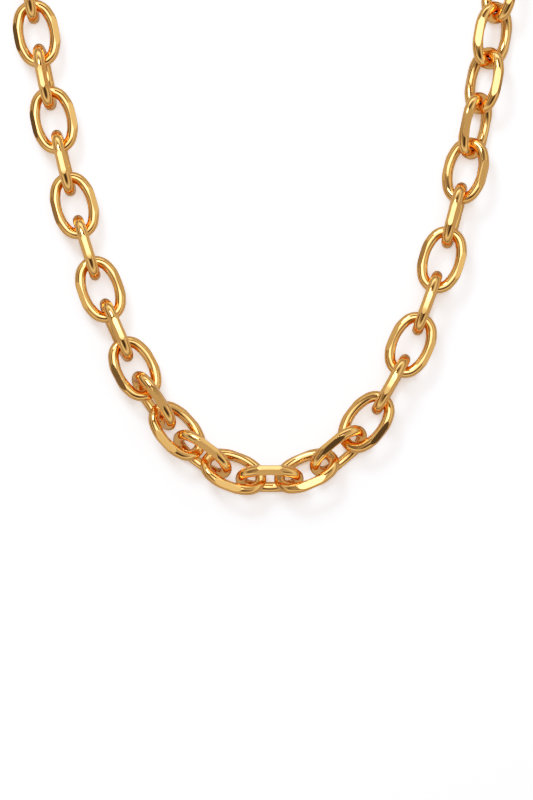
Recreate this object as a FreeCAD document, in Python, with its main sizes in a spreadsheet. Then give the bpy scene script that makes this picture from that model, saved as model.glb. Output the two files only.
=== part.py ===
import FreeCAD, Part
import math
import os
import Sketcher

# An oval-link chain necklace about 18 inches long, lying unclasped on a table in an open U.
# Millimetres, +Z up, the table is Z = 0 and the origin is the bottom centre of the whole necklace.
# Every link, ring and clasp piece is drawn once in its own local frame: X runs along the chain and
# away from the bottom link, Y is the piece's width and Z is square to its plane.

Vector = FreeCAD.Vector
UP = Vector(0, 0, 1)
LINKS_PER_SIDE = 17
SAME_POINT = 1e-9

DIMENSIONS = {
    # one link, a faceted oval bent from round wire
    "link_wire": 2.9,
    "link_outer_length": 17.95,
    "link_outer_width": 12.5,
    "link_end_radius": 4.0,
    "side_flat_depth": 0.25,
    "side_flat_radius": 40.0,
    "side_flat_cut_length": 12.0,
    "bevel_flat_depth": 0.33,
    "bevel_flat_angle": 55.0,
    # how the chain lies
    "contact_gap": 0.1,
    "left_curve_parameter": 25.3,
    "right_curve_parameter": 23.7,
    "last_link_hang": 0.95,
    # rings
    "jump_ring_wire": 1.5,
    "jump_ring_radius": 3.9,
    "jump_ring_turn": 357.5,
    "jump_ring_play": 0.16,
    "catch_ring_wire": 2.0,
    "catch_ring_radius": 4.0,
    # lobster clasp
    "claw_thickness": 4.2,
    "claw_half_length": 9.5,
    "claw_half_width": 6.0,
    "claw_end_radius": 4.9,
    "claw_middle": 11.6,
    "claw_rounding": 1.1,
    "mouth_half_length": 5.2,
    "mouth_half_width": 3.1,
    "mouth_end_radius": 2.6,
    "mouth_middle": 13.5,
    "mouth_shift": 0.9,
    "eye_thickness": 2.2,
    "eye_radius": 2.7,
    "eye_hole_radius": 1.4,
    "neck_width": 3.8,
    "neck_end": 4.4,
    "clasp_reach": 4.05,
    "clasp_nose_clearance": 0.5,
    # gate, its rivet and its spring
    "pivot_along": 6.6,
    "pivot_side": 3.2,
    "cheek_radius": 3.5,
    "gate_clearance": 0.15,
    "slot_width": 2.2,
    "slot_start": 3.6,
    "slot_top": 0.4,
    "slot_overrun": 1.0,
    "gate_root_thickness": 1.8,
    "gate_face_thickness": 3.6,
    "gate_reach": 10.5,
    "gate_outer": 5.5,
    "gate_inner": 2.3,
    "gate_root_overlap": 0.6,
    "tail_start": 4.5,
    "tail_lean": 0.5,
    "tail_half_height": 1.2,
    "thumb_tab_rise": 1.2,
    "thumb_tab_setback": 0.1,
    "thumb_tab_root": 0.6,
    "gate_root_crown": 1.5,
    "rivet_radius": 0.6,
    "rivet_hole_radius": 0.65,
    "spring_thickness": 0.25,
    "spring_width": 1.4,
    "spring_clearance": 0.02,
    "spring_bow": 0.26,
    "spring_reach_down": 1.6,
    "spring_end_clearance": 0.3,
}

DERIVED = {
    "half_length": "(link_outer_length - link_wire) / 2",
    "half_width": "(link_outer_width - link_wire) / 2",
    "end_offset": "half_length - link_end_radius",
    "side_radius": "(end_offset^2 + half_width^2 - link_end_radius^2)"
    " / (2 * (half_width - link_end_radius))",
    "claw_end_offset": "claw_half_length - claw_end_radius",
    "claw_side_radius": "(claw_end_offset^2 + claw_half_width^2 - claw_end_radius^2)"
    " / (2 * (claw_half_width - claw_end_radius))",
    "mouth_end_offset": "mouth_half_length - mouth_end_radius",
    "mouth_side_radius": "(mouth_end_offset^2 + mouth_half_width^2 - mouth_end_radius^2)"
    " / (2 * (mouth_half_width - mouth_end_radius))",
}

# How far each link is turned about the chain's own line, away from the regular lie in which links
# stand on edge and lie flat by turns, as (link number from the bottom, degrees). Positive turns
# lift the rail on the inner side of the U.
LEFT_TWIST = [(0, -30), (1, -35), (3, -30), (4, -20), (6, -8), (9, 0), (12, 6), (15, 0), (17, 0)]
RIGHT_TWIST = [(0, -30), (1, -42), (2, -36), (3, -20), (4, -3), (5, 0), (8, -8), (9, -22),
               (10, -36), (11, -46), (12, -52), (13, -50), (14, -38), (15, -25), (16, -12), (17, 0)]
# How much closer two links lie than in a taut chain, as (link number, millimetres).
LEFT_SLACK = [(1, 2.35), (2, 2.75), (3, 3.0), (4, 2.1), (5, 2.3), (6, 0.9), (7, 0.6), (17, 0.5)]
RIGHT_SLACK = [(1, 2.05), (2, 2.25), (3, 1.5), (4, 0.3), (5, 0.5), (7, 0.1), (8, 0.0), (17, 0.0)]


doc = FreeCAD.newDocument("chain_necklace")
sheet = doc.addObject("Spreadsheet::Sheet", "dims")


def fill_sheet():
    """Writes the driving dimensions and the ones worked out from them, one row each."""
    for row, (name, value) in enumerate(list(DIMENSIONS.items()) + list(DERIVED.items()), 1):
        sheet.set(f"A{row}", name)
        sheet.set(f"B{row}", f"={value}" if name in DERIVED else str(value))
        sheet.setAlias(f"B{row}", name)
    doc.recompute()


fill_sheet()


def dim(name):
    return float(getattr(sheet, name))


# ---------------------------------------------------------------- sketch and feature helpers


def new_body(label):
    body = doc.addObject("PartDesign::Body", label)
    body.Label = label
    return body


def new_sketch(body, name, role="XY_Plane"):
    """A sketch on one of the body's own origin planes."""
    plane = next(f for f in body.Origin.OriginFeatures if f.Role == role)
    sketch = body.newObject("Sketcher::SketchObject", f"{body.Name}_{name}")
    sketch.AttachmentSupport = [(plane, "")]
    sketch.MapMode = "FlatFace"
    return sketch


def bind(sketch, constraint, expression):
    """Adds a constraint and ties its value to the spreadsheet."""
    index = sketch.addConstraint(constraint)
    sketch.setExpression(f"Constraints[{index}]", expression)


def draw_arc(sketch, centre, radius, start, end):
    circle = Part.Circle(Vector(centre[0], centre[1], 0), UP, radius)
    return sketch.addGeometry(Part.ArcOfCircle(circle, start, end))


def draw_oval(sketch, prefix=""):
    """A closed oval of four tangent arcs about the origin, bound to the cells that start with prefix."""
    end_radius = dim(f"{prefix}end_radius" if prefix else "link_end_radius")
    side_radius = dim(f"{prefix}side_radius")
    offset = dim(f"{prefix}end_offset")
    sink = side_radius - dim(f"{prefix}half_width")
    turn = math.atan2(sink, offset)
    right = draw_arc(sketch, (offset, 0), end_radius, -turn, turn)
    top = draw_arc(sketch, (0, -sink), side_radius, turn, math.pi - turn)
    left = draw_arc(sketch, (-offset, 0), end_radius, math.pi - turn, math.pi + turn)
    bottom = draw_arc(sketch, (0, sink), side_radius, math.pi + turn, 2 * math.pi - turn)
    loop = [right, top, left, bottom]
    for arc, following in zip(loop, loop[1:] + loop[:1]):
        sketch.addConstraint(Sketcher.Constraint("Tangent", arc, 2, following, 1))
    sketch.addConstraint(Sketcher.Constraint("PointOnObject", right, 3, -1))
    sketch.addConstraint(Sketcher.Constraint("PointOnObject", left, 3, -1))
    sketch.addConstraint(Sketcher.Constraint("PointOnObject", top, 3, -2))
    offset_cell = f"dims.{prefix}end_offset"
    bind(sketch, Sketcher.Constraint("DistanceX", -1, 1, right, 3, offset), offset_cell)
    bind(sketch, Sketcher.Constraint("DistanceX", left, 3, -1, 1, offset), offset_cell)
    end_cell = f"dims.{prefix}end_radius" if prefix else "dims.link_end_radius"
    bind(sketch, Sketcher.Constraint("Radius", right, end_radius), end_cell)
    for arc in (top, bottom):
        bind(sketch, Sketcher.Constraint("Radius", arc, side_radius), f"dims.{prefix}side_radius")


def draw_circle(sketch, centre, radius_cell):
    circle = Part.Circle(Vector(centre[0], centre[1], 0), UP, dim(radius_cell))
    index = sketch.addGeometry(circle)
    bind(sketch, Sketcher.Constraint("Radius", index, dim(radius_cell)), f"dims.{radius_cell}")
    return index


def draw_polygon(sketch, points):
    """A closed outline of straight edges through the points."""
    first = sketch.GeometryCount
    corners = [Vector(x, y, 0) for x, y in points]
    for start, end in zip(corners, corners[1:] + corners[:1]):
        sketch.addGeometry(Part.LineSegment(start, end))
    count = len(corners)
    for n in range(count):
        sketch.addConstraint(Sketcher.Constraint("Coincident", first + n, 2, first + (n + 1) % count, 1))


def pad(body, sketch, name, thickness):
    """A pad to both sides of the sketch's plane."""
    feature = body.newObject("PartDesign::Pad", f"{body.Name}_{name}")
    feature.Profile = sketch
    feature.Midplane = True
    feature.setExpression("Length", thickness)
    return feature


def pocket(body, sketch, name, depth):
    """A pocket to both sides of the sketch's plane."""
    feature = body.newObject("PartDesign::Pocket", f"{body.Name}_{name}")
    feature.Profile = sketch
    feature.Midplane = True
    feature.setExpression("Length", depth)
    return feature


# ---------------------------------------------------------------- links


def make_link(label):
    """An oval of round wire with three hammered flats on the outer side of each long rail."""
    body = new_body(label)
    path = new_sketch(body, "path")
    draw_oval(path)
    section = new_sketch(body, "section", "XZ_Plane")
    reach, wire = dim("half_length"), dim("link_wire")
    circle = section.addGeometry(Part.Circle(Vector(reach, 0, 0), UP, wire / 2))
    section.addConstraint(Sketcher.Constraint("PointOnObject", circle, 3, -1))
    bind(section, Sketcher.Constraint("DistanceX", -1, 1, circle, 3, reach), "dims.half_length")
    bind(section, Sketcher.Constraint("Diameter", circle, wire), "dims.link_wire")
    pipe = body.newObject("PartDesign::AdditivePipe", f"{body.Name}_wire")
    pipe.Profile = section
    pipe.Spine = (path, ["Edge1", "Edge2", "Edge3", "Edge4"])
    cut_side_flats(body)
    cut_bevel_flats(body)
    return body


def cut_side_flats(body):
    """Trims the outermost line of both rails to a long, barely curved flat."""
    sketch = new_sketch(body, "side_outline")
    radius = dim("side_flat_radius")
    sink = radius - dim("link_outer_width") / 2 + dim("side_flat_depth")
    beyond = dim("link_outer_width") / 2 + dim("link_wire")
    turn = math.asin(dim("side_flat_cut_length") / 2 / radius)
    for side in (1, -1):
        middle = side * math.pi / 2
        arc = draw_arc(sketch, (0, -side * sink), radius, middle - turn, middle + turn)
        bind(sketch, Sketcher.Constraint("Radius", arc, radius), "dims.side_flat_radius")
        start, end = sketch.Geometry[arc].StartPoint, sketch.Geometry[arc].EndPoint
        corners = [end, Vector(end.x, side * beyond, 0), Vector(start.x, side * beyond, 0), start]
        lines = [
            sketch.addGeometry(Part.LineSegment(begin, finish))
            for begin, finish in zip(corners, corners[1:])
        ]
        chain = [arc] + lines
        for edge, following in zip(chain, chain[1:] + chain[:1]):
            sketch.addConstraint(Sketcher.Constraint("Coincident", edge, 2, following, 1))
        sketch.addConstraint(Sketcher.Constraint("PointOnObject", arc, 3, -2))
    pocket(body, sketch, "side_flats", "dims.link_wire * 1.2")


def cut_bevel_flats(body):
    """Planes along the rails, above and below the side flats, each the face of a box taken away."""
    rail = dim("half_width")
    depth = dim("link_wire") / 2 - dim("bevel_flat_depth")
    tilt = math.radians(dim("bevel_flat_angle"))
    for side in (1, -1):
        for face in (1, -1):
            outward = Vector(0, side * math.cos(tilt), face * math.sin(tilt))
            along = Vector(1, 0, 0)
            across = outward.cross(along)
            where = ("inner" if side > 0 else "outer") + ("_top" if face > 0 else "_under")
            box = body.newObject("PartDesign::SubtractiveBox", f"{body.Name}_bevel_{where}")
            box.setExpression("Length", "dims.link_outer_length")
            box.setExpression("Width", "dims.link_wire")
            box.setExpression("Height", "dims.link_wire")
            middle = Vector(0, side * rail, 0) + outward * depth
            corner = middle - along * (dim("link_outer_length") / 2) - across * (dim("link_wire") / 2)
            box.Placement = FreeCAD.Placement(FreeCAD.Matrix(along, across, outward, corner))


# ---------------------------------------------------------------- rings


def make_ring(label, kind, turn_cell=None):
    """A round-wire ring. A jump ring is left with the fine saw cut that it is opened by."""
    ring = doc.addObject("Part::Torus", label)
    ring.Label = label
    ring.setExpression("Radius1", f"dims.{kind}_radius")
    ring.setExpression("Radius2", f"dims.{kind}_wire / 2")
    if turn_cell:
        ring.setExpression("Angle3", f"dims.{turn_cell}")
    return ring


# ---------------------------------------------------------------- clasp


def shifted_oval(body, name, prefix, centre):
    """A sketch of an oval whose plane is moved so that the oval lies about centre."""
    sketch = new_sketch(body, name)
    draw_oval(sketch, prefix)
    sketch.AttachmentOffset = FreeCAD.Placement(Vector(*centre, 0), FreeCAD.Rotation())
    return sketch


def make_claw(label):
    """The hook of a lobster clasp: an oval claw with an eye, a mouth and a slotted root."""
    body = new_body(label)
    outline = shifted_oval(body, "outline", "claw_", (dim("claw_middle"), 0))
    claw = pad(body, outline, "claw", "dims.claw_thickness")
    doc.recompute()
    rounding = body.newObject("PartDesign::Fillet", f"{body.Name}_rounding")
    rims = [
        f"Edge{n}"
        for n, edge in enumerate(claw.Shape.Edges, 1)
        if edge.BoundBox.ZLength < 1e-6
    ]
    rounding.Base = (claw, rims)
    rounding.setExpression("Radius", "dims.claw_rounding")
    eye = new_sketch(body, "eye_outline")
    draw_circle(eye, (0, 0), "eye_radius")
    pad(body, eye, "eye", "dims.eye_thickness")
    neck = new_sketch(body, "neck_outline")
    half = dim("neck_width") / 2
    draw_polygon(neck, [(0, -half), (dim("neck_end"), -half), (dim("neck_end"), half), (0, half)])
    pad(body, neck, "neck", "dims.eye_thickness")
    hole = new_sketch(body, "eye_hole_outline")
    draw_circle(hole, (0, 0), "eye_hole_radius")
    pocket(body, hole, "eye_hole", "dims.claw_thickness * 2")
    mouth = shifted_oval(body, "mouth_outline", "mouth_", (dim("mouth_middle"), dim("mouth_shift")))
    pocket(body, mouth, "mouth", "dims.claw_thickness * 2")
    gap = new_sketch(body, "gate_gap_outline")
    pivot, side = dim("pivot_along"), -dim("pivot_side")
    low = -dim("claw_half_width") - 1
    high = dim("mouth_shift")
    far = dim("gate_reach") + dim("gate_clearance")
    draw_sector(gap, (pivot, side), (dim("cheek_radius"), far), (low, high))
    pocket(body, gap, "gate_gap", "dims.claw_thickness * 2")
    slot = new_sketch(body, "slot_outline")
    start, end = dim("slot_start"), pivot + dim("cheek_radius") + dim("slot_overrun")
    top = dim("slot_top")
    draw_polygon(slot, [(start, low), (end, low), (end, top), (start, top)])
    pocket(body, slot, "gate_slot", "dims.slot_width")
    bore = new_sketch(body, "rivet_bore_outline")
    draw_circle(bore, (pivot, side), "rivet_radius")
    pocket(body, bore, "rivet_bore", "dims.claw_thickness * 2")
    return body


def draw_sector(sketch, pivot, radii, sides):
    """An outline between two arcs about the pivot, cut off straight at its lower and upper side."""
    low, high = (side - pivot[1] for side in sides)
    near, far = radii
    low_turn = -math.pi / 2 if low < -near else math.asin(low / near)
    high_turn = math.pi / 2 if high > near else math.asin(high / near)
    near_arc = draw_arc(sketch, pivot, near, low_turn, high_turn)
    far_arc = draw_arc(sketch, pivot, far, math.asin(low / far), math.asin(high / far))
    inner, outer = sketch.Geometry[near_arc], sketch.Geometry[far_arc]
    low_run = [inner.StartPoint, outer.StartPoint]
    if inner.StartPoint.y > outer.StartPoint.y + SAME_POINT:
        low_run.insert(1, Vector(inner.StartPoint.x, outer.StartPoint.y, 0))
    high_run = [inner.EndPoint, outer.EndPoint]
    if outer.EndPoint.y > inner.EndPoint.y + SAME_POINT:
        high_run.insert(1, Vector(inner.EndPoint.x, outer.EndPoint.y, 0))
    for run in (low_run, high_run):
        for begin, finish in zip(run, run[1:]):
            sketch.addGeometry(Part.LineSegment(begin, finish))


def make_gate(label):
    """The sprung lever that closes the mouth: a thin root between the cheeks, a full-width face
    beyond them, and a thumb tab on the other side of the rivet."""
    body = new_body(label)
    pivot, side = dim("pivot_along"), -dim("pivot_side")
    root = new_sketch(body, "root_outline")
    tail, half_height = dim("tail_start"), dim("tail_half_height")
    thumb = -dim("claw_half_width") - dim("thumb_tab_rise")
    reach = pivot + dim("cheek_radius") + dim("gate_root_overlap")
    draw_polygon(
        root,
        [
            (tail, side - half_height),
            (tail + dim("tail_lean"), thumb),
            (pivot - dim("thumb_tab_setback"), thumb),
            (pivot + dim("thumb_tab_root"), -dim("gate_outer")),
            (reach, -dim("gate_outer")),
            (reach, -dim("gate_inner")),
            (pivot, side + dim("gate_root_crown")),
            (tail, side + half_height),
        ],
    )
    pad(body, root, "root", "dims.gate_root_thickness")
    face = new_sketch(body, "face_outline")
    radius = dim("cheek_radius") + dim("gate_clearance")
    sides = -dim("gate_outer"), -dim("gate_inner")
    draw_sector(face, (pivot, side), (radius, dim("gate_reach")), sides)
    pad(body, face, "face", "dims.gate_face_thickness")
    bore = new_sketch(body, "bore_outline")
    draw_circle(bore, (pivot, side), "rivet_hole_radius")
    pocket(body, bore, "bore", "dims.claw_thickness * 2")
    return body


def make_rivet(label):
    rivet = doc.addObject("Part::Cylinder", label)
    rivet.Label = label
    rivet.setExpression("Radius", "dims.rivet_radius")
    rivet.setExpression("Height", "dims.claw_thickness")
    return rivet


def make_spring(label):
    """A leaf of spring strip bowed between the end of the slot and the gate's tail."""
    body = new_body(label)
    outline = new_sketch(body, "outline")
    thick, bow = dim("spring_thickness"), dim("spring_bow")
    back = dim("slot_start") + dim("spring_clearance")
    middle = -dim("pivot_side")
    low = middle - dim("spring_reach_down")
    high = dim("slot_top") - dim("spring_end_clearance")
    draw_polygon(
        outline,
        [
            (back, low),
            (back + thick, low),
            (back + bow + thick, middle),
            (back + thick, high),
            (back, high),
            (back + bow, middle),
        ],
    )
    pad(body, outline, "leaf", "dims.spring_width")
    return body


# ---------------------------------------------------------------- how the chain lies


def between(stations, number):
    """The value at a link number, in a straight line between the two stations around it."""
    for (low, before), (high, after) in zip(stations, stations[1:]):
        if number <= high:
            share = (number - low) / (high - low)
            return before + (after - before) * max(share, 0)
    return stations[-1][1]


def frame_at(centre, along, width):
    """The placement that turns X along the chain and Y to the width direction."""
    along = Vector(along).normalize()
    width = (width - along * width.dot(along)).normalize()
    return FreeCAD.Placement(FreeCAD.Matrix(along, width, along.cross(width), centre))


def chain_line(side, distance):
    """The place and the outward direction on the hanging curve, at a distance along it."""
    a = dim("left_curve_parameter" if side < 0 else "right_curve_parameter")
    place = Vector(side * a * math.asinh(distance / a), math.hypot(a, distance) - a, 0)
    slope = math.atan2(distance, a)
    return place, Vector(side * math.cos(slope), math.sin(slope), 0)


def roll_of(side, number):
    """A link's turn about the chain's line in degrees, from lying flat."""
    twist = between(LEFT_TWIST if side < 0 else RIGHT_TWIST, number)
    return (90 if number % 2 == 0 else 0) + twist


def standing_height(roll):
    """The height of a link's centre when the flats of its lower rail touch the table."""
    rail = dim("link_wire") / 2 - dim("side_flat_depth")
    return dim("half_width") * abs(math.sin(math.radians(roll))) + rail


def line_heights(rests):
    """The heights of each link's two ends. A standing link is level, high enough for its neighbours to
    clear the table, and the link between two standing ones runs from the one to the other."""
    level_at = {
        n: max(rests[max(n - 1, 0):n + 2])
        for n in range(0, len(rests), 2)
    }
    last = max(level_at)
    ends = []
    for n in range(len(rests)):
        before = level_at[n - n % 2]
        after = level_at[min(n + n % 2, last)]
        ends.append((before, after))
    return ends


def lie_of_side(side):
    """The placements of the links of one side, from the bottom link outward, as {number: placement}."""
    spacing = dim("link_outer_length") - 2 * dim("link_wire") - dim("contact_gap")
    slack = LEFT_SLACK if side < 0 else RIGHT_SLACK
    numbers = range(LINKS_PER_SIDE + 1)
    rolls = [roll_of(side, n) for n in numbers]
    rests = [standing_height(roll) for roll in rolls]
    heights = line_heights(rests)
    placed, distance = {}, 0.0
    for n in numbers:
        if n:
            distance += spacing - between(slack, n)
        place, along = chain_line(side, distance)
        inner = UP.cross(along) * side
        roll = math.radians(rolls[n])
        width = inner * math.cos(roll) + UP * math.sin(roll)
        before, after = heights[n]
        place.z = (before + after) / 2
        slope = (after - before) / (2 * dim("half_length"))
        placed[n] = frame_at(place, along + UP * slope, width)
    last = placed[LINKS_PER_SIDE]
    low = standing_ring_height() - dim("last_link_hang")
    dip = math.asin((last.Base.z - low) / (2 * dim("half_length")))
    along = local(last, 1, 0, 0) - last.Base
    held = last.Base - along * dim("half_length")
    dipped = along * math.cos(dip) - UP * math.sin(dip)
    width = local(last, 0, 1, 0) - last.Base
    placed[LINKS_PER_SIDE] = frame_at(held + dipped * dim("half_length"), dipped, width)
    return placed


def local(placement, x, y, z):
    """A point of a piece's local frame, in the necklace's frame."""
    return placement.multVec(Vector(x, y, z))


def level(placement):
    """The piece's outward direction laid level."""
    along = local(placement, 1, 0, 0) - placement.Base
    return Vector(along.x, along.y, 0).normalize()


def standing_ring_height():
    return dim("jump_ring_radius") + (dim("jump_ring_wire") + dim("contact_gap")) / 2


def jump_ring_lie(last):
    """A jump ring standing on the table, with the last link's end resting on its inside."""
    ahead = level(last)
    tip = local(last, dim("half_length"), 0, 0)
    inside = dim("jump_ring_radius") - dim("jump_ring_wire") / 2
    play = inside - dim("link_wire") / 2 - dim("jump_ring_play")
    centre = tip + ahead * math.sqrt(play**2 - dim("last_link_hang")**2)
    centre.z = standing_ring_height()
    return frame_at(centre, ahead, UP)


def clasp_lie(ring):
    """The clasp, its eye round the jump ring and its nose on the table."""
    ahead = level(ring)
    drop = ring.Base.z - dim("claw_thickness") / 2
    reach = dim("claw_middle") + dim("claw_half_length") + dim("clasp_nose_clearance")
    dip = math.asin(drop / reach)
    along = ahead * math.cos(dip) - UP * math.sin(dip)
    return frame_at(ring.Base + ahead * dim("clasp_reach"), along, UP.cross(ahead))


def catch_ring_lie(ring):
    """The catch ring, leaning with its near side inside the jump ring and its far side on the table."""
    ahead = level(ring)
    inside = dim("jump_ring_radius") - dim("jump_ring_wire") / 2
    near = ring.Base + ahead * (inside - dim("catch_ring_wire") / 2 - dim("contact_gap"))
    dip = math.asin((ring.Base.z - dim("catch_ring_wire") / 2) / (2 * dim("catch_ring_radius")))
    along = ahead * math.cos(dip) - UP * math.sin(dip)
    return frame_at(near + along * dim("catch_ring_radius"), along, UP.cross(ahead))


def turned(placement, axis, degrees):
    """The placement with the piece first turned about one of its own axes."""
    return placement.multiply(FreeCAD.Placement(Vector(), FreeCAD.Rotation(axis, degrees)))


def shifted(placement, x, y, z):
    """The placement moved in the piece's own frame."""
    return placement.multiply(FreeCAD.Placement(Vector(x, y, z), FreeCAD.Rotation()))


# ---------------------------------------------------------------- the necklace


def link_name(side, number):
    if number == 0:
        return "link_bottom"
    return f"link_{'left' if side < 0 else 'right'}_{number:02d}"


def build_necklace():
    """Makes every piece and gives it its place. Returns {name: (object, placement)}."""
    pieces = {}
    lies = {side: lie_of_side(side) for side in (-1, 1)}
    for side in (1, -1):
        for number, placement in lies[side].items():
            name = link_name(side, number)
            if name not in pieces:
                pieces[name] = make_link(name), placement
    left_ring = jump_ring_lie(lies[-1][LINKS_PER_SIDE])
    right_ring = jump_ring_lie(lies[1][LINKS_PER_SIDE])
    half_cut = (360 - dim("jump_ring_turn")) / 2
    for name, ring in (("jump_ring_left", left_ring), ("jump_ring_right", right_ring)):
        # the cut lies at the top of the ring, away from what it holds
        place = turned(ring, UP, 90 + half_cut)
        pieces[name] = make_ring(name, "jump_ring", "jump_ring_turn"), place
    pieces["catch_ring"] = make_ring("catch_ring", "catch_ring"), catch_ring_lie(right_ring)
    clasp = clasp_lie(left_ring)
    pieces["clasp_claw"] = make_claw("clasp_claw"), clasp
    pieces["clasp_gate"] = make_gate("clasp_gate"), clasp
    half = dim("claw_thickness") / 2
    rivet_place = shifted(clasp, dim("pivot_along"), -dim("pivot_side"), -half)
    pieces["clasp_rivet"] = make_rivet("clasp_rivet"), rivet_place
    pieces["clasp_spring"] = make_spring("clasp_spring"), clasp
    return pieces


def put_in_place(pieces):
    """Places the pieces, then moves them all so that the origin is the bottom centre of their box."""
    doc.recompute()
    box = FreeCAD.BoundBox()
    for piece, placement in pieces.values():
        piece.Placement = placement
        box.add(piece.Shape.optimalBoundingBox(False, False))
    move = Vector(-box.Center.x, -box.Center.y, -box.ZMin)
    for name, (piece, placement) in pieces.items():
        placement = FreeCAD.Placement(placement.Base + move, placement.Rotation)
        pieces[name] = piece, placement
        piece.Placement = placement
    doc.recompute()


def check_and_export(pieces):
    for item in doc.Objects:
        if {"Invalid", "Error"} & set(item.State):
            raise RuntimeError(f"{item.Name} did not recompute: {item.State}")
    os.makedirs("parts", exist_ok=True)
    for name, (piece, _) in pieces.items():
        shape = piece.Shape
        if shape.isNull() or not shape.isValid() or len(shape.Solids) != 1:
            raise RuntimeError(f"{name} is not one sound solid")
        shape.exportStep(f"parts/{name}.step")
    print(f"{len(pieces)} pieces written")


def main():
    pieces = build_necklace()
    put_in_place(pieces)
    check_and_export(pieces)
    return pieces


necklace = main()
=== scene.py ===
import math

import bpy
import numpy as np
from mathutils import Matrix, Vector


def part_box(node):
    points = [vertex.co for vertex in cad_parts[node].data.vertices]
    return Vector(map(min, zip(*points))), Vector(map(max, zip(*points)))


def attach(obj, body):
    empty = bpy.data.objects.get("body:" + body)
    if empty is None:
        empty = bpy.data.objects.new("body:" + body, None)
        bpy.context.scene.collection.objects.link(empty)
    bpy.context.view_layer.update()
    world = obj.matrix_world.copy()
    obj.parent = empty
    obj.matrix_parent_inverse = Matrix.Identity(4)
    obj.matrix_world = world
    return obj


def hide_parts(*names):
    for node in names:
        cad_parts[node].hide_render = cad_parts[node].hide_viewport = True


# The chain necklace, lying on a white table. Metres throughout, except where a name ends in _MM.
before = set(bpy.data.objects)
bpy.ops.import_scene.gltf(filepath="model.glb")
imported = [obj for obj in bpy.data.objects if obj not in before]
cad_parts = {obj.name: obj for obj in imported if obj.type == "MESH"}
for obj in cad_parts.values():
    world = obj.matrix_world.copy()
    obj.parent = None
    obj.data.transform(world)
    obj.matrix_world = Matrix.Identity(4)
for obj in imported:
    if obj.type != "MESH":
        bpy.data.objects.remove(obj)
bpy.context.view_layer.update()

MM = 0.001
rng = np.random.default_rng(7)  # the small differences between the links' flats

# One link, a faceted oval bent from round wire.
WIRE_MM = 2.9
LENGTH_MM = 17.95
WIDTH_MM = 12.5
END_RADIUS_MM = 4.0
SIDE_FLAT_DEPTH_MM = 0.25
SIDE_FLAT_RADIUS_MM = 40.0
BEVEL_DEPTH_MM = 0.33
BEVEL_ANGLE = math.radians(55)
FLAT_VARIATION = 0.02  # millimetres of depth, and radians of tilt
EDGE_SOFTNESS = 0.032  # radians of wire section on each side of a flat's edge
LEAST_EDGE = 0.004  # radians from the outward line to the first edge, where a flat all but closes
LEAST_STEP = 0.01  # radians between corners, where a flat all but closes
ROUND_WIRE, SIDE_FLAT, BEVEL = 0, 1, 2
GRAZING = 0.05  # cosine below which a line is taken to miss a flat
OUT_OF_REACH_MM = 99.0

# The clasp's tumbled edges and the rivet's heads, in metres.
EDGE_ROUNDING = 0.00018
HEAD_RADIUS = 0.00085
HEAD_HEIGHT = 0.0003
HEAD_ROOT = 0.0002
HEAD_SEARCH = 0.0012
HEAD_FOOT = 0.96  # the root's radius, as a share of the head's
HEAD_WALL = 0.12  # the upright rim below the dome, as a share of the head's height
HEAD_STEPS, HEAD_SIDES = 7, 40

GOLD = (0.96, 0.52, 0.17)
GOLD_DEEP = (0.94, 0.475, 0.145)
STEEL = (0.56, 0.55, 0.53)
STEEL_DARK = (0.42, 0.41, 0.4)

TABLE_SEEN = (1.42, 1.63, 1.95)
TABLE_GLOW = (0.26, 0.12, 0.02)
TABLE_MIRRORED = (0.57, 0.54, 0.5)
TABLE_GRAIN = 0.94  # the darker grain of the table, as a share of TABLE_MIRRORED
TABLE_REACH = 3.0
# The studio's walls from overhead down to the table: (degrees from overhead, level).
WALL_LEVELS = [(0, 1.2), (12, 1.2), (22, 0.2), (42, 0.1), (50, 0.6), (62, 1.2), (76, 0.7), (90, 0.06)]
WALL_DARKEST = 0.05
# Patches of light and shade on the walls: (direction, full inside degrees, gone at degrees, level).
WORLD_PATCHES = [
    ((0.1, -1, 1.6), 10, 24, -0.15),
    ((-1, -0.1, 0.6), 16, 40, -0.5),
    ((-1, -0.6, 1.2), 14, 30, 0.35),
    ((1, 0.2, 1.4), 12, 28, 0.5),
    ((-1, 0.3, 1.4), 12, 28, 0.3),
]
# Softboxes: (name, place, (width, height), radiance), all facing the chain.
PANELS = [
    ("top_softbox", (0.0, 0.06, 0.6), (0.46, 0.24), 3.0),
    ("top_heart", (0.06, 0.05, 0.6), (0.12, 0.12), 3.0),
    ("key_softbox", (-0.2, 0.36, 0.55), (0.2, 0.16), 20.0),
    ("back_softbox", (0.0, 0.62, 0.34), (0.6, 0.2), 1.7),
]
CHAIN_MIDDLE = (0, 0, 0)
WARM_WHITE = (1.0, 0.93, 0.84)

# The picture's tone curve: (light, shown), with everything at FILM_WHITE and above shown white.
FILM_WHITE = 1.8
FILM_CURVE = [(0.1, 0.11), (0.25, 0.26), (0.5, 0.47), (1.0, 0.76), (1.4, 0.91)]

# The camera: how high it hangs, how wide a field it takes in, and where it aims from the bottom link.
CAMERA_HEIGHT = 0.95
CAMERA_FIELD = 0.2092
CAMERA_AIM = (-0.0008, 0.02055)
SENSOR_MM = 36.0


# ---------------------------------------------------------------- nodes and materials


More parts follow.
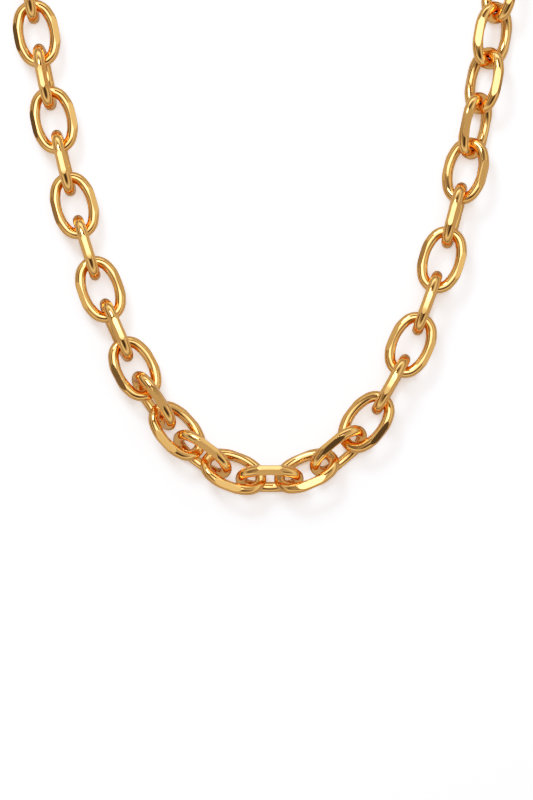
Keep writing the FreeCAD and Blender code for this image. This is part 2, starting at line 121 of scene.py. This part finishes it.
class Nodes:
    """Short calls for building one material's node tree."""

    def __init__(self, tree):
        self.tree = tree

    def add(self, kind, links=None, **settings):
        node = self.tree.nodes.new(kind)
        for name, value in settings.items():
            setattr(node, name, value)
        for socket, source in (links or {}).items():
            if isinstance(source, bpy.types.NodeSocket):
                self.tree.links.new(source, node.inputs[socket])
            else:
                node.inputs[socket].default_value = source
        return node

    def noise(self, vector, scale, detail, roughness=0.5):
        settings = {"Vector": vector, "Scale": scale, "Detail": detail, "Roughness": roughness}
        return self.add("ShaderNodeTexNoise", settings).outputs["Fac"]

    def ramp(self, value, low, high, out_low, out_high):
        """Maps low..high to out_low..out_high, held at both ends."""
        node = self.add(
            "ShaderNodeMapRange",
            {"Value": value, "From Min": low, "From Max": high, "To Min": out_low, "To Max": out_high},
        )
        return node.outputs["Result"]

    def stretch(self, vector, factors):
        node = self.add("ShaderNodeVectorMath", {0: vector, 1: factors}, operation="MULTIPLY")
        return node.outputs["Vector"]

    def mix_colour(self, factor, first, second):
        node = self.add("ShaderNodeMix", {"Factor": factor}, data_type="RGBA")
        node.inputs[6].default_value = (*first, 1)
        node.inputs[7].default_value = (*second, 1)
        return node.outputs[2]

    def bump(self, height, strength, distance, normal=None):
        links = {"Height": height, "Strength": strength, "Distance": distance}
        if normal is not None:
            links["Normal"] = normal
        return self.add("ShaderNodeBump", links).outputs["Normal"]


def new_material(name):
    material = bpy.data.materials.new(name)
    material.use_nodes = True
    material.node_tree.nodes.clear()
    return material, Nodes(material.node_tree)


def finish_metal(nodes, colour, roughness, normal):
    settings = {"Base Color": colour, "Metallic": 1.0, "Roughness": roughness, "Normal": normal}
    shader = nodes.add("ShaderNodeBsdfPrincipled", settings)
    output = nodes.add("ShaderNodeOutputMaterial")
    nodes.tree.links.new(shader.outputs["BSDF"], output.inputs["Surface"])


def edge_normal(nodes):
    """Normals that turn smoothly over sharp edges, as tumbling leaves them."""
    return nodes.add("ShaderNodeBevel", {"Radius": EDGE_ROUNDING}, samples=6).outputs["Normal"]


def polished_gold(name, tumbled=False):
    """Mirror-polished plating: faint waviness, hairlines and a slow drift in tone."""
    material, nodes = new_material(name)
    place = nodes.add("ShaderNodeTexCoord").outputs["Object"]
    tone = nodes.noise(place, 190.0, 2.0)
    colour = nodes.mix_colour(nodes.ramp(tone, 0.35, 0.65, 0.0, 1.0), GOLD, GOLD_DEEP)
    smear = nodes.noise(place, 420.0, 4.0, 0.6)
    roughness = nodes.ramp(smear, 0.3, 0.7, 0.045, 0.085)
    wave = nodes.noise(place, 240.0, 1.0)
    normal = nodes.bump(wave, 0.2, 0.00004, edge_normal(nodes) if tumbled else None)
    hair = nodes.noise(nodes.stretch(place, (600.0, 9000.0, 9000.0)), 1.0, 2.0)
    normal = nodes.bump(hair, 0.04, 0.000006, normal)
    finish_metal(nodes, colour, roughness, normal)
    return material


def brushed_gold(name, tumbled=False):
    """The flats: ground along the rail, so they carry fine lengthwise lines."""
    material, nodes = new_material(name)
    place = nodes.add("ShaderNodeTexCoord").outputs["Object"]
    lines = nodes.noise(nodes.stretch(place, (260.0, 7000.0, 7000.0)), 1.0, 3.0, 0.6)
    colour = nodes.mix_colour(nodes.ramp(lines, 0.3, 0.7, 0.0, 1.0), GOLD, GOLD_DEEP)
    roughness = nodes.ramp(lines, 0.3, 0.7, 0.08, 0.13)
    normal = nodes.bump(lines, 0.08, 0.00001, edge_normal(nodes) if tumbled else None)
    finish_metal(nodes, colour, roughness, normal)
    return material


def spring_steel(name):
    material, nodes = new_material(name)
    place = nodes.add("ShaderNodeTexCoord").outputs["Object"]
    grain = nodes.noise(nodes.stretch(place, (900.0, 9000.0, 900.0)), 1.0, 3.0)
    colour = nodes.mix_colour(grain, STEEL, STEEL_DARK)
    roughness = nodes.ramp(grain, 0.3, 0.7, 0.25, 0.4)
    finish_metal(nodes, colour, roughness, nodes.bump(grain, 0.2, 0.00001))
    return material


# ---------------------------------------------------------------- link mesh


def oval_stations(side_steps=44, end_steps=30):
    """Points and outward normals round the wire's centreline, in the link's plane, in millimetres."""
    half_length = (LENGTH_MM - WIRE_MM) / 2
    half_width = (WIDTH_MM - WIRE_MM) / 2
    offset = half_length - END_RADIUS_MM
    side_radius = (offset**2 + half_width**2 - END_RADIUS_MM**2) / (2 * (half_width - END_RADIUS_MM))
    sink = side_radius - half_width
    turn = math.atan2(sink, offset)
    arcs = [
        ((offset, 0), END_RADIUS_MM, -turn, turn, end_steps),
        ((0, -sink), side_radius, turn, math.pi - turn, side_steps),
        ((-offset, 0), END_RADIUS_MM, math.pi - turn, math.pi + turn, end_steps),
        ((0, sink), side_radius, math.pi + turn, 2 * math.pi - turn, side_steps),
    ]
    points, normals = [], []
    for (cx, cy), radius, start, end, steps in arcs:
        for angle in np.linspace(start, end, steps, endpoint=False):
            out = np.array([math.cos(angle), math.sin(angle)])
            points.append(np.array([cx, cy]) + radius * out)
            normals.append(out)
    return np.array(points), np.array(normals), half_width


class Flats:
    """The depths and tilts of one link's six flats, each a little different, as hand-held grinding
    leaves them."""

    def __init__(self):
        self.side = {g: SIDE_FLAT_DEPTH_MM + self.vary() for g in (1, -1)}
        self.bevel = {
            (g, face): (BEVEL_DEPTH_MM + self.vary(), BEVEL_ANGLE + self.vary())
            for g in (1, -1)
            for face in (1, -1)
        }

    def vary(self):
        return rng.uniform(-FLAT_VARIATION, FLAT_VARIATION)


def cut_radius(height, angle):
    """How far out a flat at this height meets a line at this angle from it."""
    return height / math.cos(angle) if math.cos(angle) > GRAZING else OUT_OF_REACH_MM


def half_section(point, out, half_width, flats, face):
    """One half of the wire's section, from its outward line round to its inward line, as a list of
    (radius, angle, normal, kind), where kind is ROUND_WIRE, SIDE_FLAT or BEVEL."""
    g = 1 if point[1] >= 0 else -1
    wire = WIRE_MM / 2
    centre = np.array([0, g * (WIDTH_MM / 2 - flats.side[g] - SIDE_FLAT_RADIUS_MM)])
    to_point = point - centre
    along = to_point @ out
    side_height = -along + math.sqrt(along**2 - to_point @ to_point + SIDE_FLAT_RADIUS_MM**2)
    depth, tilt = flats.bevel[g, face]
    value = math.cos(tilt) * (half_width - abs(point[1])) + wire - depth
    across = g * math.cos(tilt) * out[1]
    size = math.hypot(across, math.sin(tilt))
    bevel_at = math.atan2(math.sin(tilt), across)
    bevel_height = value / size
    side_reach = math.acos(min(1.0, side_height / wire))
    bevel_reach = math.acos(min(1.0, bevel_height / wire))
    first, second, third = side_reach, bevel_at - bevel_reach, bevel_at + bevel_reach
    soft = EDGE_SOFTNESS
    if first > second and bevel_reach > 0 and side_reach > 0:
        middle = math.atan2(bevel_height - side_height * math.cos(bevel_at), side_height * math.sin(bevel_at))
        gap = 0.0
        first = second = middle
    else:
        middle, gap = (first + second) / 2, max(second - first, 0.0)
    room = max(gap / 2 - soft, soft / 3)
    edge = max(min(first - soft, middle - room - soft / 2), LEAST_EDGE)
    start = max(second + soft, middle + room + soft / 2)
    end = max(third - soft, start + LEAST_STEP)
    after = max(third + soft, end + LEAST_STEP)
    angles = [0, edge / 2, edge]
    angles += list(np.linspace(middle - room, middle + room, 5))
    angles += list(np.linspace(start, end, 4))
    angles += list(np.linspace(after, math.pi, 11))
    section = []
    for angle in angles:
        side = cut_radius(side_height, angle)
        bevel = cut_radius(bevel_height, angle - bevel_at)
        radius = min(wire, side, bevel)
        spread = math.cos(angle) * out
        radial = np.array([spread[0], spread[1], face * math.sin(angle)])
        kind = ROUND_WIRE
        normal = radial
        if radius == side and side < wire:
            place = point + radius * spread - centre
            normal = np.array([*(place / np.linalg.norm(place)), 0.0])
            kind = SIDE_FLAT
        elif radius == bevel and bevel < wire:
            normal = np.array([0.0, g * math.cos(tilt), face * math.sin(tilt)])
            kind = BEVEL
        section.append((radius, angle, normal, kind))
    return section


def link_mesh(name):
    """The link's skin: a sweep round the oval whose section has its corners exactly on the edges of
    the flats, with each corner's true normal."""
    points, outs, half_width = oval_stations()
    flats = Flats()
    vertices, normals, kinds = [], [], []
    for point, out in zip(points, outs):
        top = half_section(point, out, half_width, flats, 1)
        under = half_section(point, out, half_width, flats, -1)
        ring = [(*corner, 1) for corner in top] + [(*corner, -1) for corner in under[-2:0:-1]]
        for radius, angle, normal, kind, face in ring:
            spread = point + radius * math.cos(angle) * out
            vertices.append((spread[0], spread[1], face * radius * math.sin(angle)))
            normals.append(normal)
            kinds.append(kind)
    count = len(ring)
    stations = len(points)
    faces, slots = [], []
    for n in range(stations):
        here, there = n * count, (n + 1) % stations * count
        for m in range(count):
            corners = (here + m, there + m, there + (m + 1) % count, here + (m + 1) % count)
            faces.append(corners)
            found = {kinds[c] for c in corners}
            slots.append(1 if len(found) == 1 and found != {ROUND_WIRE} else 0)
    mesh = bpy.data.meshes.new(name)
    mesh.from_pydata((np.array(vertices) * MM).tolist(), [], faces)
    mesh.polygons.foreach_set("material_index", slots)
    mesh.polygons.foreach_set("use_smooth", [True] * len(faces))
    mesh.update()
    mesh.normals_split_custom_set_from_vertices([tuple(n) for n in normals])
    return mesh


# ---------------------------------------------------------------- places from the frame


def node_frame(node):
    """The placement of a CAD node from its own mesh: its middle, and its long, wide and thin
    directions as X, Y and Z."""
    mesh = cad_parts[node].data
    points = np.empty(len(mesh.vertices) * 3)
    mesh.vertices.foreach_get("co", points)
    points = points.reshape(-1, 3)
    corners = np.array([points[list(triangle.vertices)] for triangle in mesh.loop_triangles])
    first_edge, second_edge = corners[:, 1] - corners[:, 0], corners[:, 2] - corners[:, 0]
    areas = np.linalg.norm(np.cross(first_edge, second_edge), axis=1) / 2
    middles = corners.mean(1)
    centre = (middles * areas[:, None]).sum(0) / areas.sum()
    spread = middles - centre
    moment = (spread * areas[:, None]).T @ spread
    axes = np.linalg.eigh(moment)[1]
    long, wide = axes[:, 2], axes[:, 1]
    if long[1] < 0:
        long = -long
    thin = np.cross(long, wide)
    matrix = Matrix.Identity(4)
    for n, axis in enumerate((long, wide, thin)):
        for m in range(3):
            matrix[m][n] = axis[m]
    matrix.translation = Vector(centre)
    return matrix


def add_piece(name, mesh, materials, body, nodes, matrix):
    """A piece of the necklace, in place of its CAD nodes."""
    piece = bpy.data.objects.new(name, mesh)
    bpy.context.scene.collection.objects.link(piece)
    for material in materials:
        mesh.materials.append(material)
    piece.matrix_world = matrix
    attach(piece, body)
    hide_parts(*nodes)


def make_links(materials):
    for node in sorted(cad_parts):
        if node.startswith("link_"):
            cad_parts[node].data.calc_loop_triangles()
            mesh = link_mesh(f"{node}_skin")
            add_piece(f"{node}_faceted", mesh, materials, node, [node], node_frame(node))


# ---------------------------------------------------------------- clasp and rings


def vertex_array(piece):
    points = np.empty(len(piece.data.vertices) * 3)
    piece.data.vertices.foreach_get("co", points)
    matrix = np.array(piece.matrix_world)
    return points.reshape(-1, 3) @ matrix[:3, :3].T + matrix[:3, 3]


def dome_mesh(name, radius, height, root):
    """A low peened head, standing on Z = 0 with a short root below."""
    rings = [(radius * HEAD_FOOT, -root), (radius, height * HEAD_WALL)]
    for n in range(1, HEAD_STEPS):
        turn = math.pi / 2 * n / HEAD_STEPS
        rise = HEAD_WALL + (1 - HEAD_WALL) * math.sin(turn)
        rings.append((radius * math.cos(turn), height * rise))
    around = HEAD_SIDES
    vertices = []
    for ring_radius, z in rings:
        for n in range(around):
            angle = 2 * math.pi * n / around
            vertices.append((ring_radius * math.cos(angle), ring_radius * math.sin(angle), z))
    faces = []
    for m in range(len(rings) - 1):
        for n in range(around):
            here, there = m * around + n, m * around + (n + 1) % around
            faces.append((here, there, there + around, here + around))
    tip, base = len(vertices), len(vertices) + 1
    vertices += [(0, 0, height), (0, 0, -root)]
    last = (len(rings) - 1) * around
    for n in range(around):
        faces.append((last + n, last + (n + 1) % around, tip))
        faces.append(((n + 1) % around, n, base))
    mesh = bpy.data.meshes.new(name)
    mesh.from_pydata(vertices, [], faces)
    mesh.polygons.foreach_set("use_smooth", [True] * len(faces))
    mesh.update()
    return mesh


def make_rivet_heads(material):
    """The rivet's two peened heads, on the outsides of the claw's cheeks."""
    rivet = vertex_array(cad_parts["clasp_rivet"])
    centre = (rivet.min(0) + rivet.max(0)) / 2
    axis = np.linalg.svd(rivet - centre, full_matrices=False)[2][0]
    if axis[2] < 0:
        axis = -axis
    offset = vertex_array(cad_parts["clasp_claw"]) - centre
    along = offset @ axis
    beside = np.linalg.norm(offset - along[:, None] * axis, axis=1) < HEAD_SEARCH
    for side, name in ((1, "rivet_head_top"), (-1, "rivet_head_under")):
        place = centre + side * axis * (side * along[beside]).max()
        head = bpy.data.objects.new(name, dome_mesh(name, HEAD_RADIUS, HEAD_HEIGHT, HEAD_ROOT))
        bpy.context.scene.collection.objects.link(head)
        head.data.materials.append(material)
        turn = Vector(side * axis).to_track_quat("Z", "X").to_matrix().to_4x4()
        head.matrix_world = Matrix.Translation(Vector(place)) @ turn
        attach(head, "clasp")


def finish_cad_nodes(ring_gold, clasp_gold, gate_gold, steel):
    """The rings and the clasp keep their CAD shapes."""
    finishes = {
        "clasp_claw": clasp_gold,
        "clasp_rivet": clasp_gold,
        "clasp_gate": gate_gold,
        "clasp_spring": steel,
    }
    for node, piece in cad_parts.items():
        if not node.startswith("link_"):
            piece.data.materials.clear()
            piece.data.materials.append(finishes.get(node, ring_gold))


# ---------------------------------------------------------------- studio


def make_floor():
    """A white table. The camera sees it bright; the metal sees it as the shaded table of a studio."""
    material, nodes = new_material("white_table")
    place = nodes.add("ShaderNodeTexCoord").outputs["Object"]
    grain = nodes.noise(place, 300.0, 3.0)
    mirrored = nodes.mix_colour(grain, TABLE_MIRRORED, tuple(c * TABLE_GRAIN for c in TABLE_MIRRORED))
    bright = nodes.add("ShaderNodeBsdfDiffuse", {"Color": (*TABLE_SEEN, 1)}).outputs[0]
    glow = nodes.add("ShaderNodeEmission", {"Color": (*TABLE_GLOW, 1), "Strength": 1.0}).outputs[0]
    lit = nodes.add("ShaderNodeAddShader", {0: bright, 1: glow}).outputs[0]
    dim = nodes.add("ShaderNodeBsdfDiffuse", {"Color": mirrored}).outputs[0]
    from_camera = nodes.add("ShaderNodeLightPath").outputs["Is Camera Ray"]
    both = nodes.add("ShaderNodeMixShader", {0: from_camera, 1: dim, 2: lit}).outputs[0]
    output = nodes.add("ShaderNodeOutputMaterial")
    nodes.tree.links.new(both, output.inputs["Surface"])
    mesh = bpy.data.meshes.new("table")
    reach = TABLE_REACH
    corners = [(-reach, -reach, 0), (reach, -reach, 0), (reach, reach, 0), (-reach, reach, 0)]
    mesh.from_pydata(corners, [], [(0, 1, 2, 3)])
    mesh.materials.append(material)
    table = bpy.data.objects.new("table", mesh)
    bpy.context.scene.collection.objects.link(table)


def make_world():
    """The studio round the table, as the metal mirrors it. To the camera it is a white backdrop."""
    world = bpy.data.worlds.new("studio")
    bpy.context.scene.world = world
    world.use_nodes = True
    world.node_tree.nodes.clear()
    nodes = Nodes(world.node_tree)
    direction = nodes.add("ShaderNodeTexCoord").outputs["Generated"]
    ramp = nodes.add("ShaderNodeValToRGB")
    elements = ramp.color_ramp.elements
    while len(elements) < len(WALL_LEVELS):
        elements.new(0.5)
    for element, (degrees, level) in zip(elements, reversed(WALL_LEVELS)):
        element.position = max(math.cos(math.radians(degrees)), 0.0)
        element.color = (level, level, level, 1)
    up = nodes.add("ShaderNodeSeparateXYZ", {0: direction}).outputs["Z"]
    nodes.tree.links.new(up, ramp.inputs["Fac"])
    light = ramp.outputs["Color"]
    for toward, inner, outer, level in WORLD_PATCHES:
        toward = Vector(toward).normalized()
        near = nodes.add("ShaderNodeVectorMath", {0: direction, 1: tuple(toward)}, operation="DOT_PRODUCT")
        edge, full = math.cos(math.radians(outer)), math.cos(math.radians(inner))
        patch = nodes.ramp(near.outputs["Value"], edge, full, 0.0, level)
        light = nodes.add("ShaderNodeMath", {0: light, 1: patch}, operation="ADD").outputs[0]
    light = nodes.add("ShaderNodeMath", {0: light, 1: WALL_DARKEST}, operation="MAXIMUM").outputs[0]
    walls = nodes.add("ShaderNodeBackground", {"Color": (*WARM_WHITE, 1), "Strength": light}).outputs[0]
    backdrop = nodes.add("ShaderNodeBackground", {"Color": (1, 1, 1, 1), "Strength": FILM_WHITE}).outputs[0]
    from_camera = nodes.add("ShaderNodeLightPath").outputs["Is Camera Ray"]
    both = nodes.add("ShaderNodeMixShader", {0: from_camera, 1: walls, 2: backdrop}).outputs[0]
    output = nodes.add("ShaderNodeOutputWorld")
    nodes.tree.links.new(both, output.inputs["Surface"])


def add_area_light(name, place, target, size, radiance, colour):
    light = bpy.data.lights.new(name, "AREA")
    light.shape = "RECTANGLE"
    light.size, light.size_y = size
    light.energy = radiance * math.pi * size[0] * size[1]
    light.color = colour
    lamp = bpy.data.objects.new(name, light)
    bpy.context.scene.collection.objects.link(lamp)
    lamp.location = place
    lamp.rotation_euler = (Vector(target) - Vector(place)).to_track_quat("-Z", "Y").to_euler()


def make_lights():
    for name, place, size, radiance in PANELS:
        add_area_light(name, place, CHAIN_MIDDLE, size, radiance, WARM_WHITE)


def make_camera():
    """Straight above the necklace, a little above the bottom of the U."""
    low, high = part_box("link_bottom")
    middle = (Vector(low) + Vector(high)) / 2
    camera = bpy.data.cameras.new("camera")
    camera.sensor_width = SENSOR_MM
    camera.lens = camera.sensor_width * CAMERA_HEIGHT / CAMERA_FIELD
    camera.clip_start, camera.clip_end = 0.01, 50.0
    eye = bpy.data.objects.new("camera", camera)
    bpy.context.scene.collection.objects.link(eye)
    eye.location = (middle.x + CAMERA_AIM[0], middle.y + CAMERA_AIM[1], middle.z + CAMERA_HEIGHT)
    bpy.context.scene.camera = eye


def set_film():
    """A film's soft shoulder: bright gold pales towards white instead of clipping."""
    view = bpy.context.scene.view_settings
    view.view_transform = "Standard"
    view.use_curve_mapping = True
    film = view.curve_mapping
    film.extend = "HORIZONTAL"
    film.white_level = (FILM_WHITE, FILM_WHITE, FILM_WHITE)
    combined = film.curves[3]
    for level, shown in FILM_CURVE:
        combined.points.new(level / FILM_WHITE, shown)
    film.update()


def main():
    polished, brushed = polished_gold("gold_polished"), brushed_gold("gold_brushed")
    make_camera()
    make_links([polished, brushed])
    clasp_gold = polished_gold("gold_clasp_polished", tumbled=True)
    gate_gold = brushed_gold("gold_gate_brushed", tumbled=True)
    finish_cad_nodes(polished, clasp_gold, gate_gold, spring_steel("spring_steel"))
    make_rivet_heads(polished)
    make_floor()
    make_world()
    make_lights()
    set_film()


main()
